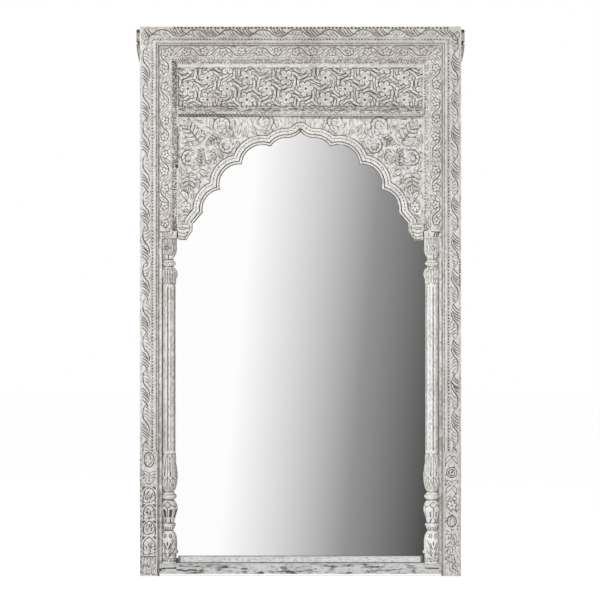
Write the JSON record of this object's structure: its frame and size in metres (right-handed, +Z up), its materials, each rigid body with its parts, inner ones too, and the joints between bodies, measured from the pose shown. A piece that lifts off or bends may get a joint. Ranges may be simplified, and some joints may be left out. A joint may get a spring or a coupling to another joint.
{
  "type": "arched mirror",
  "caption": "Tall mirror in a carved limewashed timber frame: cusped arch over the pane, lattice frieze, half columns, vine borders, ring hangers on the back.",
  "frame": {"origin": "on the floor under the middle of the frame, halfway through its depth", "axes": "+X to the viewer's right, +Y from the front to the back, +Z up"},
  "size_m": [1.094, 0.09, 1.83],
  "materials": {
    "limewashed_wood": "carved hardwood, limewashed and rubbed back, dark in the cuts",
    "bare_wood": "sawn hardwood, unpainted",
    "plywood": "thin plywood, unpainted",
    "mirror_pane": "silvered float glass",
    "zinc_steel": "zinc plated"
  },
  "bodies": {
    "frame": {"outer_stile_left": "limewashed_wood", "outer_stile_right": "limewashed_wood", "outer_head_rail": "limewashed_wood", "inner_jamb_left": "limewashed_wood", "inner_jamb_right": "limewashed_wood", "inner_head_border": "limewashed_wood", "frieze_panel": "limewashed_wood", "transom_rail": "limewashed_wood", "spandrel_left": "limewashed_wood", "spandrel_right": "limewashed_wood", "corbel_left": "limewashed_wood", "corbel_right": "limewashed_wood", "column_left": "limewashed_wood", "column_right": "limewashed_wood", "sill_rail": "limewashed_wood", "sill_slip": "limewashed_wood", "side_horn_left": "limewashed_wood", "side_horn_right": "limewashed_wood", "mirror_glass": "mirror_pane", "back_board": "plywood", "batten_left": "bare_wood", "batten_right": "bare_wood", "batten_top": "bare_wood", "batten_middle": "bare_wood", "batten_bottom": "bare_wood", "mitre_dowels": "bare_wood", "column_dowels": "bare_wood", "arch_dowels": "bare_wood", "sill_dowels": "bare_wood", "batten_screws": "zinc_steel", "hanger_strap_left": "zinc_steel", "hanger_strap_right": "zinc_steel", "hanger_screws": "zinc_steel"},
    "ring_left": {"hanger_ring_left": "zinc_steel"},
    "ring_right": {"hanger_ring_right": "zinc_steel"}
  },
  "joints": [
    {"name": "ring_left_swing", "type": "hinge", "parent": "frame", "child": "ring_left", "pos_m": [-0.464, 0.0345, 1.48], "axis": [1, 0, 0], "range_deg": [0, 180]},
    {"name": "ring_right_swing", "type": "hinge", "parent": "frame", "child": "ring_right", "pos_m": [0.464, 0.0345, 1.48], "axis": [1, 0, 0], "range_deg": [0, 180]}
  ]
}
